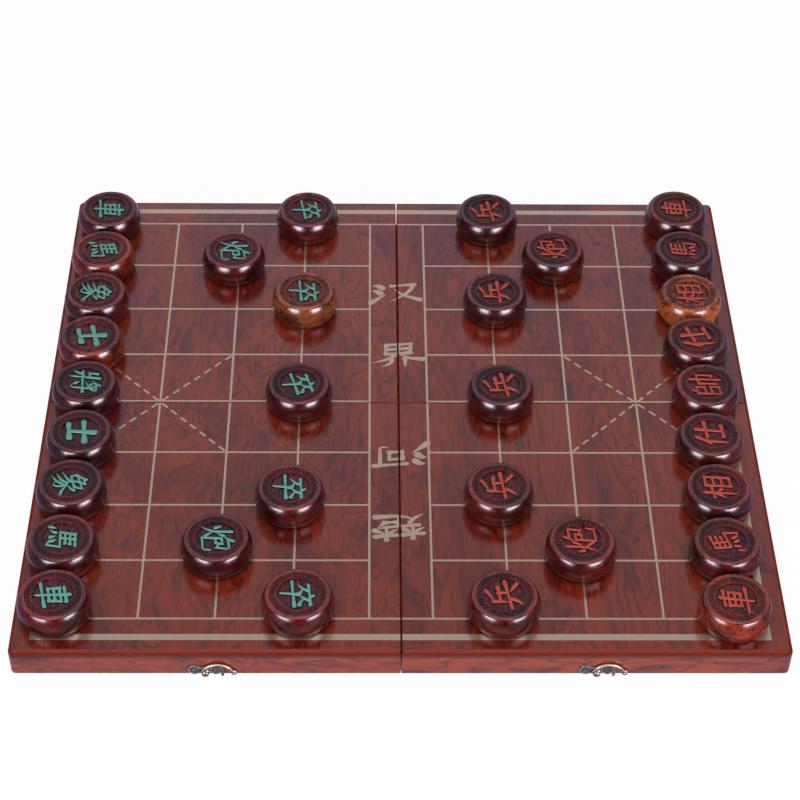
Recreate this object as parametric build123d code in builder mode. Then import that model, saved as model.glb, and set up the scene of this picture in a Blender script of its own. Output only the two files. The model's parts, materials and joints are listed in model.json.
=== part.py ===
"""Xiangqi board in two folding storage cases, set up with its 32 playing pieces.

Each case is two shallow trays, rims down, whose flat backs make one side of the board. The trays
are hinged along the board's middle line (Y = 0). Folded under, the front tray meets the back one
rim to rim, and a swinging hook on the front rail takes hold of a stud on the back rail. The two
cases stand side by side, and the gap between them runs down the middle of the river (X = 0).

Frame: millimetres, +Z up, +X towards the red side, +Y towards the back. The origin is on the
surface that the board stands on, under the crossing of the fold line and the river.
"""
import os
from math import cos, radians, sin

from build123d import *

os.makedirs("parts", exist_ok=True)

# ---------------------------------------------------------------- playing pieces
piece_diameter = 48.0
piece_height = 19.3
top_swell = 3.0          # how far the barrel swells out past the top rim
base_swell = 2.5         # and past the foot
rim_land = 2.7           # smooth rim outside the carved ring
ring_width = 4.7         # carved ring
ring_depth = 0.5
field_depth = 1.6        # middle field, below the rim
rim_ease = 0.8
foot_ease = 0.6

# ---------------------------------------------------------------- board and cases
finger_gap = 2.0         # left between two pieces on neighbouring points
across_count = 8         # cells from the front line to the back line
deep_count = 4           # cells from the river bank to the end line
bank_offset = 20.7       # river bank line from the middle of the river
end_margin = 30.8        # end line to the case's end
side_margin = 28.0       # outer line to the case's front or back face
case_gap = 0.8           # between the two cases, where they stand side by side
fold_gap = 0.3           # between the two trays of one case, opened flat
half_height = 21.0       # one tray, rim to board
panel_thickness = 5.5
rail_thickness = 8.0
edge_round = 3.2         # long rounding of the board's outer edge
corner_round = 4.0       # outer upright corners, seen from above
seam_round = 0.8         # edges that lie along the river and the fold

# ---------------------------------------------------------------- hinges
hinge_length = 30.0
hinge_spread = 70.0      # hinge centre from the middle of the case
knuckle_radius = 1.25
pin_radius = 0.6
pin_clearance = 0.05     # radial, in the knuckles that turn on the pin
knuckle_count = 5
knuckle_gap = 0.3
notch_clearance = 0.35   # rail round the knuckles
leaf_thickness = 0.9
leaf_reach = 6.8         # leaf's far edge from the hinge axis
leaf_screw_reach = 4.2
leaf_screw_spread = 9.0
mortise_clearance = 0.1
rim_clearance = 0.15     # rim above the hinge axis, half of the gap between closed rims

# ---------------------------------------------------------------- screws
screw_head_radius = 1.5
screw_shank_radius = 0.8
screw_length = 6.5
screw_tip = 1.5
screw_hole_clearance = 0.1
recess_width = 0.4
recess_depth = 0.4

# ---------------------------------------------------------------- hook and catch
plate_thickness = 1.0
arm_thickness = 1.2
arm_gap = 0.2            # on each face of the swinging arm
clasp_depth = 4.5        # how far rivet and stud stand out of the case
rivet_height = 2.8       # above the rim
stud_height = 4.4        # above the other tray's rim
plate_rise = 1.6         # screws of the clasp plate above its rivet
plate_lobe_radius = 4.2
plate_lobe_reach = 7.0
plate_middle_radius = 3.2
plate_middle_rise = 0.6
plate_waist = 5.2
catch_lobe_radius = 2.8
catch_lobe_reach = 6.0
catch_middle_radius = 4.0
rivet_radius = 1.3
rivet_head_radius = 2.2
rivet_clearance = 0.05
tail_radius = 1.9        # peened end behind a plate
tail_depth = 0.8
tail_clearance = 0.1
stud_radius = 1.25
stud_head_radius = 2.2
stud_head_clearance = 0.4
hub_radius = 2.8
throat_radius = 8.6      # stud's centre from the rivet when the hook holds it
throat_clearance = 0.45
claw_width = 1.9
claw_low_angle = -15.0   # degrees about the rivet, hook at rest
claw_high_angle = 38.0
arch_radius = 11.0
arch_width = 2.1
arch_centre = (7.9, -2.8)
curl_radius = 2.0
curl_centre = (18.2, -0.2)
arm_ease = 0.25

# ---------------------------------------------------------------- places worked out from the sizes
cell = piece_diameter + finger_gap
river_x = case_gap / 2
end_x = bank_offset + deep_count * cell + end_margin
case_middle = (river_x + end_x) / 2
fold_y = fold_gap / 2
face_y = across_count / 2 * cell + side_margin
axis_z = knuckle_radius
rim_z = axis_z + rim_clearance
panel_z = rim_z + half_height - panel_thickness
board_z = rim_z + half_height
rail_height = panel_z - rim_z
notch_radius = knuckle_radius + notch_clearance
leaf_start = knuckle_radius + notch_clearance
knuckle_pitch = hinge_length / knuckle_count
arm_level = plate_thickness + arm_gap
head_level = arm_level + arm_thickness + arm_gap
# With the case closed and the hook swung a quarter turn, the stud stands this far below the
# rivet, so it lies this far to the side of it.
closed_drop = rivet_height + 2 * rim_clearance + stud_height
stud_side = (throat_radius**2 - closed_drop**2) ** 0.5

sides = {"left": -1, "right": 1}
halves = {"back": 1, "front": -1}


def hinge_places(side):
    """X of a case's two hinges."""
    return [side * case_middle - hinge_spread, side * case_middle + hinge_spread]


def clasp_plane(side):
    """Plane on the front face at the rivet: x to the right, y up, z out of the case."""
    return Plane(
        origin=(side * case_middle, -face_y, rim_z + rivet_height),
        x_dir=(1, 0, 0),
        z_dir=(0, -1, 0),
    )


def catch_plane(side):
    """Plane on the back face at the stud: y up, z out of the case."""
    return Plane(
        origin=(side * case_middle + stud_side, face_y, rim_z + stud_height),
        x_dir=(-1, 0, 0),
        z_dir=(0, 1, 0),
    )


def rim_plane(x, half):
    """Plane on a rim at a hinge: z points down, out of the wood."""
    return Plane(origin=(x, half * leaf_screw_reach, rim_z), x_dir=(1, 0, 0), z_dir=(0, 0, -1))


def group(name, solids):
    """One node that holds several separate solids."""
    return Compound(label=name, children=solids)


def save(shape, name):
    """Write one node."""
    shape.label = name
    export_step(shape, f"parts/{name}.step")


# ---------------------------------------------------------------- board panels
def tray_plan(side, half):
    """The tray's outline in the current sketch, with its outer corner rounded."""
    middle = (side * case_middle, half * (fold_y + face_y) / 2)
    with Locations(middle):
        plan = Rectangle(end_x - river_x, face_y - fold_y)
    outer_corner = plan.vertices().sort_by_distance((side * end_x, half * face_y, 0))[0]
    fillet(outer_corner, radius=corner_round)


def make_panel(side, half):
    """The flat board of one tray: long rounding outside, a small one along river and fold."""
    with BuildPart() as panel:
        with BuildSketch(Plane.XY.offset(panel_z)):
            tray_plan(side, half)
        extrude(amount=panel_thickness)
        rim = panel.faces().sort_by(Axis.Z)[-1].edges()
        inner = rim.filter_by(
            lambda edge: abs(abs(edge.center().X) - river_x) < 0.01
            or abs(abs(edge.center().Y) - fold_y) < 0.01
        )
        fillet(rim - inner, radius=edge_round)
        seams = panel.faces().sort_by(Axis.Z)[-1].edges().filter_by(
            lambda edge: abs(abs(edge.center().X) - river_x) < 0.01
            or abs(abs(edge.center().Y) - fold_y) < 0.01
        )
        fillet(seams, radius=seam_round)
    return panel.part


# ---------------------------------------------------------------- tray frames
def rail_corners(side, half):
    """The four mitred rails of a tray, each as its outline from above."""
    x0, x1 = side * river_x, side * end_x
    y0, y1 = half * fold_y, half * face_y
    inset_x, inset_y = side * rail_thickness, half * rail_thickness
    inner_x0, inner_x1 = x0 + inset_x, x1 - inset_x
    inner_y0, inner_y1 = y0 + inset_y, y1 - inset_y
    return {
        "fold": [(x0, y0), (x1, y0), (inner_x1, inner_y0), (inner_x0, inner_y0)],
        "face": [(x0, y1), (x1, y1), (inner_x1, inner_y1), (inner_x0, inner_y1)],
        "river": [(x0, y0), (x0, y1), (inner_x0, inner_y1), (inner_x0, inner_y0)],
        "end": [(x1, y0), (x1, y1), (inner_x1, inner_y1), (inner_x1, inner_y0)],
    }


def cut_hinge_seats(side, half):
    """Notch for the knuckles, mortise for the leaf and pilot holes, in the current rail."""
    for x in hinge_places(side):
        with Locations(Location((x, 0, axis_z), (0, 90, 0))):
            Cylinder(notch_radius, hinge_length + 2 * knuckle_gap, mode=Mode.SUBTRACT)
        with Locations((x, 0, rim_z)):
            Box(
                hinge_length + 2 * mortise_clearance,
                2 * (leaf_reach + mortise_clearance),
                2 * leaf_thickness,
                mode=Mode.SUBTRACT,
            )
        cut_pilots(rim_plane(x, half), leaf_screws())


def cut_pilots(plane, places):
    """Pilot holes behind a plate or leaf that lies on the given plane."""
    for place in places:
        with Locations(plane.location * Location((*place, -screw_length / 2))):
            Cylinder(screw_shank_radius, screw_length, mode=Mode.SUBTRACT)


def cut_tail_seat(plane):
    """Pocket for the peened end of a rivet or stud."""
    depth = tail_depth + tail_clearance
    with Locations(plane.location * Location((0, 0, -depth / 2))):
        Cylinder(tail_radius + tail_clearance, depth, mode=Mode.SUBTRACT)


def make_frame(name, side, half):
    """Four mitred rails under one panel."""
    rails = []
    for place, corners in rail_corners(side, half).items():
        with BuildPart() as rail:
            with BuildSketch(Plane.XY.offset(rim_z)):
                tray_plan(side, half)
                with BuildLine():
                    Polyline(*corners, close=True)
                make_face(mode=Mode.INTERSECT)
            extrude(amount=rail_height)
            if place == "fold":
                cut_hinge_seats(side, half)
            if place == "face" and half < 0:
                cut_pilots(clasp_plane(side), clasp_screws())
                cut_tail_seat(clasp_plane(side))
            if place == "face" and half > 0:
                cut_pilots(catch_plane(side), catch_screws())
                cut_tail_seat(catch_plane(side))
        rail.part.label = f"{place}_rail"
        rails.append(rail.part)
    return group(name, rails)


# ---------------------------------------------------------------- screws
def leaf_screws():
    """Screws of one hinge leaf, in the plane of the rim."""
    return [(-leaf_screw_spread, 0), (leaf_screw_spread, 0)]


def clasp_screws():
    """Screws of the clasp plate, about the rivet."""
    return [(-plate_lobe_reach, plate_rise), (plate_lobe_reach, plate_rise)]


def catch_screws():
    """Screws of the catch plate, about the stud."""
    return [(-catch_lobe_reach, 0), (catch_lobe_reach, 0)]


def make_screw():
    """Countersunk screw with a crossed recess, its head at z = 0 and its point down."""
    head_height = screw_head_radius - screw_shank_radius
    with BuildPart() as screw:
        with BuildSketch(Plane.XZ):
            with BuildLine():
                Polyline(
                    (0, 0),
                    (screw_head_radius, 0),
                    (screw_shank_radius, -head_height),
                    (screw_shank_radius, screw_tip - screw_length),
                    (0, -screw_length),
                    close=True,
                )
            make_face()
        revolve(axis=Axis.Z)
        for turn in (0, 90):
            with Locations(Location((0, 0, 0), (0, 0, turn))):
                Box(1.4 * screw_head_radius, recess_width, 2 * recess_depth, mode=Mode.SUBTRACT)
    return screw.part


def set_screws(screw, plane, places):
    """Copies of the screw at places on a plane, level with it."""
    return [plane.location * Location((*place, 0)) * screw for place in places]


def cut_countersinks(plane, places):
    """Countersunk holes through a plate, from its outer face on the given plane."""
    for place in places:
        with Locations(plane.location * Location((*place, 0))):
            CounterSinkHole(
                screw_shank_radius + screw_hole_clearance,
                screw_head_radius,
                depth=3 * plate_thickness,
                counter_sink_angle=90,
            )


# ---------------------------------------------------------------- hinges
def make_leaf(x, half):
    """One hinge leaf, let into the rim of its tray. The back leaf has the end knuckles."""
    own = range(0, knuckle_count, 2) if half > 0 else range(1, knuckle_count, 2)
    bore = pin_radius if half > 0 else pin_radius + pin_clearance
    with BuildPart() as leaf:
        with Locations((x, half * (leaf_start + leaf_reach) / 2, rim_z + leaf_thickness / 2)):
            Box(hinge_length, leaf_reach - leaf_start, leaf_thickness)
        for index in own:
            knuckle_x = x + (index - (knuckle_count - 1) / 2) * knuckle_pitch
            with Locations(Location((knuckle_x, 0, axis_z), (0, 90, 0))):
                Cylinder(knuckle_radius, knuckle_pitch - knuckle_gap)
            with Locations((knuckle_x, half * leaf_start / 2, rim_z + leaf_thickness / 2)):
                Box(knuckle_pitch - knuckle_gap, leaf_start, leaf_thickness)
        with Locations(Location((x, 0, axis_z), (0, 90, 0))):
            Cylinder(bore, hinge_length, mode=Mode.SUBTRACT)
        cut_countersinks(rim_plane(x, half), leaf_screws())
    return leaf.part


def make_pin(x):
    """Hinge pin, tight in the back leaf's knuckles."""
    with BuildPart() as pin:
        with Locations(Location((x, 0, axis_z), (0, 90, 0))):
            Cylinder(pin_radius, hinge_length)
    return pin.part


# ---------------------------------------------------------------- hook and catch
def make_clasp_plate(side):
    """Scalloped plate that carries the hook's rivet."""
    plane = clasp_plane(side)
    with BuildPart() as plate:
        with BuildSketch(plane):
            with Locations(*clasp_screws()):
                Circle(plate_lobe_radius)
            with Locations((0, plate_middle_rise)):
                Circle(plate_middle_radius)
            with Locations((0, plate_rise)):
                Rectangle(2 * plate_lobe_reach, plate_waist)
        extrude(amount=plate_thickness)
        with Locations(plane.location):
            Cylinder(rivet_radius, 4 * plate_thickness, mode=Mode.SUBTRACT)
        cut_countersinks(plane.offset(plate_thickness), clasp_screws())
    return plate.part


def make_catch_plate(side):
    """Three-lobed plate that carries the stud."""
    plane = catch_plane(side)
    with BuildPart() as plate:
        with BuildSketch(plane):
            Circle(catch_middle_radius)
            with Locations(*catch_screws()):
                Circle(catch_lobe_radius)
        extrude(amount=plate_thickness)
        with Locations(plane.location):
            Cylinder(stud_radius, 4 * plate_thickness, mode=Mode.SUBTRACT)
        cut_countersinks(plane.offset(plate_thickness), catch_screws())
    return plate.part


def make_hook(side):
    """Arched arm on the rivet, with the claw that closes round the stud and a curled end."""
    claw_inner = throat_radius + stud_radius + throat_clearance
    claw_outer = claw_inner + claw_width
    claw_middle = (claw_inner + claw_outer) / 2
    low, high = radians(claw_low_angle), radians(claw_high_angle)
    toward, along = Vector(cos(low), sin(low)), Vector(cos(high), sin(high))
    tip = claw_middle * toward + claw_width / 2 * Vector(sin(low), -cos(low))
    with BuildPart() as arm:
        with BuildSketch(mode=Mode.PRIVATE) as claw:
            with BuildLine():
                ThreePointArc(claw_inner * toward, tip, claw_outer * toward)
                RadiusArc(claw_outer * toward, claw_outer * along, -claw_outer)
                Line(claw_outer * along, claw_inner * along)
                RadiusArc(claw_inner * along, claw_inner * toward, claw_inner)
            make_face()
        with BuildSketch():
            with Locations(arch_centre):
                Circle(arch_radius)
                Circle(arch_radius - arch_width, mode=Mode.SUBTRACT)
            with Locations((arch_centre[0], arch_radius)):
                Rectangle(4 * arch_radius, 2 * arch_radius, mode=Mode.INTERSECT)
            Circle(hub_radius)
            with Locations(curl_centre):
                Circle(curl_radius)
            add(claw.sketch)
        extrude(amount=arm_thickness)
        outer_face = arm.faces().filter_by(Axis.Z).sort_by(Axis.Z)[-1]
        fillet(outer_face.edges(), radius=arm_ease)
        Cylinder(rivet_radius + rivet_clearance, 4 * arm_thickness, mode=Mode.SUBTRACT)
    return clasp_plane(side).offset(arm_level).location * arm.part


def make_headed_pin(plane, shank_radius, head_radius, head_base):
    """Rivet or stud through a plate: peened tail, shank and domed head."""
    head_edge = (head_base + clasp_depth) / 2
    with BuildPart() as headed_pin:
        with BuildSketch(Plane.XZ):
            with BuildLine():
                Polyline(
                    (0, clasp_depth),
                    (0, -tail_depth),
                    (tail_radius, -tail_depth),
                    (tail_radius, 0),
                    (shank_radius, 0),
                    (shank_radius, head_base),
                    (head_radius, head_base),
                    (head_radius, head_edge),
                )
                RadiusArc(
                    (head_radius, head_edge),
                    (0, clasp_depth),
                    -dome_radius(head_radius, clasp_depth - head_edge),
                )
            make_face()
        revolve(axis=Axis.Z)
    return plane.location * headed_pin.part


def dome_radius(half_width, rise):
    """Radius of a dome from its half width and rise."""
    return (half_width**2 + rise**2) / (2 * rise)


# ---------------------------------------------------------------- playing pieces
def make_piece(x, y):
    """Barrel-sided disc with a carved ring round a sunk field, standing on the board."""
    top_radius = piece_diameter / 2 - top_swell
    base_radius = piece_diameter / 2 - base_swell
    ring_radius = top_radius - rim_land
    field_radius = ring_radius - ring_width
    with BuildPart() as piece:
        with BuildSketch(Plane(origin=(x, y, board_z), x_dir=(1, 0, 0), z_dir=(0, -1, 0))):
            with BuildLine():
                Polyline(
                    (base_radius, 0),
                    (0, 0),
                    (0, piece_height - field_depth),
                    (field_radius, piece_height - field_depth),
                    (field_radius, piece_height - ring_depth),
                    (ring_radius, piece_height - ring_depth),
                    (ring_radius, piece_height),
                    (top_radius, piece_height),
                )
                ThreePointArc(
                    (top_radius, piece_height),
                    (piece_diameter / 2, piece_height / 2),
                    (base_radius, 0),
                )
            make_face()
        revolve(axis=Axis((x, y, board_z), (0, 0, 1)))
        rings = piece.edges().filter_by(GeomType.CIRCLE)
        rim = rings.group_by(Axis.Z)[-1].sort_by(SortBy.RADIUS)[-1]
        fillet(rim, radius=rim_ease)
        foot = piece.edges().filter_by(GeomType.CIRCLE).group_by(Axis.Z)[0]
        fillet(foot, radius=foot_ease)
    return piece.part


# The set-up. Each entry: name, cells from the river bank, cells behind the fold line, and how
# far the hand set it off its point to the right and to the back, in finger gaps.
green_places = [
    ("chariot_back", 4, 4, -1.5, -2.4),
    ("horse_back", 4, 3, -1.6, -1.6),
    ("elephant_back", 4, 2, -1.9, -0.8),
    ("adviser_back", 4, 1, -1.5, 0.0),
    ("general", 4, 0, -1.1, 0.8),
    ("adviser_front", 4, -1, -0.4, 0.9),
    ("elephant_front", 4, -2, -1.2, 1.7),
    ("horse_front", 4, -3, -1.4, 1.4),
    ("chariot_front", 4, -4, -1.5, 2.2),
    ("cannon_back", 2, 3, -2.0, -1.9),
    ("cannon_front", 2, -3, -0.6, 1.75),
    ("soldier_1", 1, 4, 0.6, -2.4),
    ("soldier_2", 1, 2, 0.6, -0.25),
    ("soldier_3", 1, 0, -0.25, 0.0),
    ("soldier_4", 1, -2, -1.9, -0.5),
    ("soldier_5", 1, -4, 2.0, 2.5),
]
red_places = [
    ("chariot_back", 4, 4, -0.9, -1.0),
    ("horse_back", 4, 3, -0.6, -0.5),
    ("elephant_back", 4, 2, -0.9, -0.75),
    ("adviser_back", 4, 1, -1.25, -0.4),
    ("general", 4, 0, -0.6, -0.25),
    ("adviser_front", 4, -1, -2.0, 0.1),
    ("elephant_front", 4, -2, -2.25, 0.1),
    ("horse_front", 4, -3, -2.6, 0.4),
    ("chariot_front", 4, -4, -2.5, 0.5),
    ("cannon_back", 2, 3, -0.5, -0.6),
    ("cannon_front", 2, -3, -0.5, 0.75),
    ("soldier_1", 1, 4, -0.1, -3.0),
    ("soldier_2", 1, 2, 1.1, -0.4),
    ("soldier_3", 1, 0, 1.1, -0.4),
    ("soldier_4", 1, -2, -1.75, 0.5),
    ("soldier_5", 1, -4, -2.1, 2.1),
]


def piece_centre(side, column, row, nudge_x, nudge_y):
    """Where a piece stands, from its point on the board."""
    point_x = side * (bank_offset + column * cell)
    return point_x + nudge_x * finger_gap, row * cell + nudge_y * finger_gap


# ---------------------------------------------------------------- build and write every node
screw = make_screw()

for side_name, side in sides.items():
    for half_name, half in halves.items():
        quarter = f"{side_name}_{half_name}"
        save(make_panel(side, half), f"{quarter}_panel")
        save(make_frame(f"{quarter}_frame", side, half), f"{quarter}_frame")
        leaves = [make_leaf(x, half) for x in hinge_places(side)]
        leaf_name = f"{side_name}_hinge_leaves_{half_name}"
        save(group(leaf_name, leaves), leaf_name)
        screws = []
        for x in hinge_places(side):
            screws += set_screws(screw, rim_plane(x, half), leaf_screws())
        face_plane = catch_plane(side) if half > 0 else clasp_plane(side)
        face_screws = catch_screws() if half > 0 else clasp_screws()
        screws += set_screws(screw, face_plane.offset(plate_thickness), face_screws)
        save(group(f"{quarter}_screws", screws), f"{quarter}_screws")
    pins = [make_pin(x) for x in hinge_places(side)]
    save(group(f"{side_name}_hinge_pins", pins), f"{side_name}_hinge_pins")
    save(make_clasp_plate(side), f"{side_name}_clasp_plate")
    save(make_hook(side), f"{side_name}_hook_arm")
    rivet = make_headed_pin(clasp_plane(side), rivet_radius, rivet_head_radius, head_level)
    save(rivet, f"{side_name}_hook_rivet")
    save(make_catch_plate(side), f"{side_name}_catch_plate")
    stud_neck = arm_level + arm_thickness + stud_head_clearance
    stud = make_headed_pin(catch_plane(side), stud_radius, stud_head_radius, stud_neck)
    save(stud, f"{side_name}_catch_stud")

for colour, side, places in (("green", -1, green_places), ("red", 1, red_places)):
    for name, *place in places:
        save(make_piece(*piece_centre(side, *place)), f"{colour}_{name}")
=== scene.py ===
"""Looks of the xiangqi set: two folding cases, opened as a board, with 32 carved pieces."""
import json
from math import cos, hypot, pi, radians, sin, sqrt
from random import Random

import bmesh
import bpy
from mathutils import Matrix, Vector

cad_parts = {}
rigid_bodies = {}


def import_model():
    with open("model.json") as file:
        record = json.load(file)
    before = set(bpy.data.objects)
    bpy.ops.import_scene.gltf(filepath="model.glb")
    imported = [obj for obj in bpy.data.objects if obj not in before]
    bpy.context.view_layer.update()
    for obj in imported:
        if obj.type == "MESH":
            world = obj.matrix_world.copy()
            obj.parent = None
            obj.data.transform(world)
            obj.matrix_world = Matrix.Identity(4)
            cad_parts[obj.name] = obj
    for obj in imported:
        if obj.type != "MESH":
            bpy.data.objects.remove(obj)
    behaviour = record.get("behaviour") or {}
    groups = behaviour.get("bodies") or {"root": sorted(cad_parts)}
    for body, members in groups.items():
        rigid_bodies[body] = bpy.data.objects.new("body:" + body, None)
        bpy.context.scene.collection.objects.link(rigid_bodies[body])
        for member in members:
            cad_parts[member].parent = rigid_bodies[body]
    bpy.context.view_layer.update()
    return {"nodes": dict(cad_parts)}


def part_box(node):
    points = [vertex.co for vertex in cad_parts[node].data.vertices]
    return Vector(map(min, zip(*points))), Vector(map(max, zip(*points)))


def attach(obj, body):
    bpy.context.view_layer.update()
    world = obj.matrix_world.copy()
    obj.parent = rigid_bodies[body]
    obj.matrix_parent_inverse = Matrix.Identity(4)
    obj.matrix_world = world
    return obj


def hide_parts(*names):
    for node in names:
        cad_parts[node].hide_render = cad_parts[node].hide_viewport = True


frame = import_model()
scene = bpy.context.scene
scene.view_settings.view_transform = "Standard"
MM = 0.001


# ---------------------------------------------------------------- camera
# A long lens on a tripod, in front of the set and as high as it is far away. It is turned and
# tipped by a degree, as it was set up by hand.
lens_mm = 92.25
camera_height = radians(44.393)
camera_yaw = radians(-1.193)
camera_roll = radians(0.961)
camera_place = Vector((-0.0208, -1.0499, 1.0530))

toward_camera = Vector((
    sin(camera_yaw) * cos(camera_height),
    -cos(camera_yaw) * cos(camera_height),
    sin(camera_height),
))
level_right = (-toward_camera).cross(Vector((0, 0, 1))).normalized()
level_up = level_right.cross(-toward_camera)
camera_right = cos(camera_roll) * level_right + sin(camera_roll) * level_up
camera_up = cos(camera_roll) * level_up - sin(camera_roll) * level_right
camera_turn = Matrix((camera_right, camera_up, toward_camera)).transposed()

camera_data = bpy.data.cameras.new("camera")
camera_data.sensor_width = 36.0
camera_data.lens = lens_mm
camera = bpy.data.objects.new("camera", camera_data)
camera.matrix_world = Matrix.Translation(camera_place) @ camera_turn.to_4x4()
scene.collection.objects.link(camera)
scene.camera = camera


# ---------------------------------------------------------------- studio
# A white table that runs on into a white room, a large soft light overhead, and two softboxes
# low in front, one each side of the camera and brighter in their middles, which make the pair
# of glints on every piece.
def linear(hex_code):
    """A colour written as sRGB hex, as the linear RGBA that the shader sockets take."""
    channels = [int(hex_code[i:i + 2], 16) / 255 for i in (1, 3, 5)]
    return (*[c / 12.92 if c <= 0.04045 else ((c + 0.055) / 1.055) ** 2.4 for c in channels], 1.0)


SMOOTH = {"interpolation_type": "SMOOTHSTEP"}


def add(tree, kind, options=None, inputs=None):
    """Adds one node. A value among the inputs is set on its socket, another node's output is
    linked to it, and a node stands for the first output that it has in use."""
    node = tree.nodes.new(kind)
    for name, value in (options or {}).items():
        setattr(node, name, value)
    for name, value in (inputs or {}).items():
        if isinstance(value, bpy.types.Node):
            value = next(output for output in value.outputs if output.enabled)
        if isinstance(value, bpy.types.NodeSocket):
            tree.links.new(value, node.inputs[name])
        else:
            node.inputs[name].default_value = value
    return node


def new_material(name):
    """An empty material and its node tree."""
    material = bpy.data.materials.new(name)
    material.use_nodes = True
    material.node_tree.nodes.clear()
    return material, material.node_tree


def end_with(tree, shader):
    """Wires a shader node's output to the surface."""
    add(tree, "ShaderNodeOutputMaterial", inputs={"Surface": shader})


def new_object(name, data):
    """An object at the origin that shows this mesh, or this lamp."""
    piece = bpy.data.objects.new(name, data)
    scene.collection.objects.link(piece)
    return piece


# Matt white table. To the camera it is a little brighter than the light makes it, so that it runs
# into the white behind it and keeps only soft shadows. To mirrors alone it glows, a painted
# reflection: white beside the set and black from a hand's width in front of it. Under the set it
# stays in its own shade.
table_paper, tree = new_material("white table paper")
light_path = add(tree, "ShaderNodeLightPath")
table_place = add(tree, "ShaderNodeSeparateXYZ", inputs={
    0: add(tree, "ShaderNodeTexCoord").outputs["Object"]})
footprint = (("X", 0.2505), ("Y", 0.2270))   # a little inside the cases, in metres
out_x, out_y = [
    add(tree, "ShaderNodeMath", {"operation": "GREATER_THAN"}, {
        0: add(tree, "ShaderNodeMath", {"operation": "ABSOLUTE"}, {0: table_place.outputs[axis]}),
        1: reach})
    for axis, reach in footprint]
beside = add(tree, "ShaderNodeMath", {"operation": "MAXIMUM"}, {0: out_x, 1: out_y})
front_steps = ((-0.35, -0.29), (-0.252, -0.238))   # in front of the set it whitens in two steps
half_white = 0.4
far_step, near_step = [
    add(tree, "ShaderNodeMapRange", SMOOTH, {
        "Value": table_place.outputs["Y"], "From Min": start, "From Max": end,
        "To Max": half_white})
    for start, end in front_steps]
mirror_glow = add(tree, "ShaderNodeMath", {"operation": "ADD"}, {0: far_step, 1: near_step})
aside = add(tree, "ShaderNodeMath", {"operation": "ABSOLUTE"}, {0: table_place.outputs["X"]})
side_start, side_end = 0.245, 0.30   # out to the sides it is dimmer and more violet again
to_sides = add(tree, "ShaderNodeMapRange", SMOOTH, {
    "Value": aside, "From Min": side_start, "From Max": side_end, "To Min": 1.0, "To Max": 0.4})
mirror_glow = add(tree, "ShaderNodeMath", {"operation": "MULTIPLY"}, {0: mirror_glow, 1: to_sides})
# the table glows only for mirrors, a painted reflection
to_mirrors = add(tree, "ShaderNodeMath", {"operation": "MULTIPLY"},
                 {0: light_path.outputs["Is Glossy Ray"], 1: mirror_glow})
seen = add(tree, "ShaderNodeMath", {"operation": "MAXIMUM"},
           {0: light_path.outputs["Is Camera Ray"], 1: to_mirrors})
paper = add(tree, "ShaderNodeBsdfDiffuse", inputs={"Color": linear("#F4F4F4")})
violet = add(tree, "ShaderNodeMapRange", inputs={
    "Value": aside, "From Min": side_start, "From Max": side_end})
mirror_tint = add(tree, "ShaderNodeMix", {"data_type": "RGBA"}, {
    0: violet, 6: linear("#F4E8F6"), 7: linear("#DCC6FA")})
lift_tint = add(tree, "ShaderNodeMix", {"data_type": "RGBA"}, {
    0: light_path.outputs["Is Glossy Ray"], 6: linear("#FFFFFF"), 7: mirror_tint})
lift = add(tree, "ShaderNodeEmission", inputs={"Color": lift_tint, "Strength": seen})
camera_share = 0.95   # the rest is the paper itself, which keeps the set's shadow
share = add(tree, "ShaderNodeMath", {"operation": "MULTIPLY_ADD"}, {
    0: light_path.outputs["Is Camera Ray"], 1: camera_share,
    2: light_path.outputs["Is Glossy Ray"]})
share = add(tree, "ShaderNodeMath", {"operation": "MULTIPLY"}, {0: share, 1: beside})
end_with(tree, add(tree, "ShaderNodeMixShader", inputs={0: share, 1: paper, 2: lift}))
table_mesh = bpy.data.meshes.new("table")
table_reach = 30.0
table_mesh.from_pydata(
    [(-table_reach, -table_reach, 0), (table_reach, -table_reach, 0),
     (table_reach, table_reach, 0), (-table_reach, table_reach, 0)], [], [(0, 1, 2, 3)])
table_mesh.materials.append(table_paper)
new_object("table", table_mesh)

world = bpy.data.worlds.new("white room")
world.use_nodes = True
world.node_tree.nodes.clear()
tree = world.node_tree
light_path = add(tree, "ShaderNodeLightPath")
ray_way = add(tree, "ShaderNodeSeparateXYZ", inputs={
    0: add(tree, "ShaderNodeTexCoord").outputs["Generated"]})
# a mirror sees the white sweep behind the set, the dim end of the room behind the camera, the
# ceiling, which is greyer than the walls, and a dark line low down, where walls and floor meet
room_steps = (   # axis of the view, from, to, brightness before and after
    ("Y", -0.6, 0.1, 0.04, 1.0), ("Z", 0.60, 0.85, 1.0, 0.52), ("Z", 0.15, 0.55, 0.08, 1.0))
sweep, ceiling, horizon = [
    add(tree, "ShaderNodeMapRange", SMOOTH, {
        "Value": ray_way.outputs[axis], "From Min": start, "From Max": end,
        "To Min": before, "To Max": after})
    for axis, start, end, before, after in room_steps]
mirrored = add(tree, "ShaderNodeMath", {"operation": "MULTIPLY"}, {0: sweep, 1: ceiling})
mirrored = add(tree, "ShaderNodeMath", {"operation": "MULTIPLY"}, {0: mirrored, 1: horizon})
room_light = 0.36
by_mirror = add(tree, "ShaderNodeMix", {"data_type": "FLOAT"}, {
    0: light_path.outputs["Is Glossy Ray"], 2: room_light, 3: mirrored})
seen = add(tree, "ShaderNodeMath", {"operation": "MAXIMUM"},
           {0: light_path.outputs["Is Camera Ray"], 1: light_path.outputs["Is Transmission Ray"]})
strength = add(tree, "ShaderNodeMix", {"data_type": "FLOAT"}, {0: seen, 2: by_mirror, 3: 1.0})
low_tint = add(tree, "ShaderNodeMapRange", inputs={
    "Value": ray_way.outputs["Z"], "From Min": 0.62, "From Max": 0.76, "To Min": 1.0,
    "To Max": 0.0})
low_tint = add(tree, "ShaderNodeMath", {"operation": "MULTIPLY"},
               {0: low_tint, 1: light_path.outputs["Is Glossy Ray"]})
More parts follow.
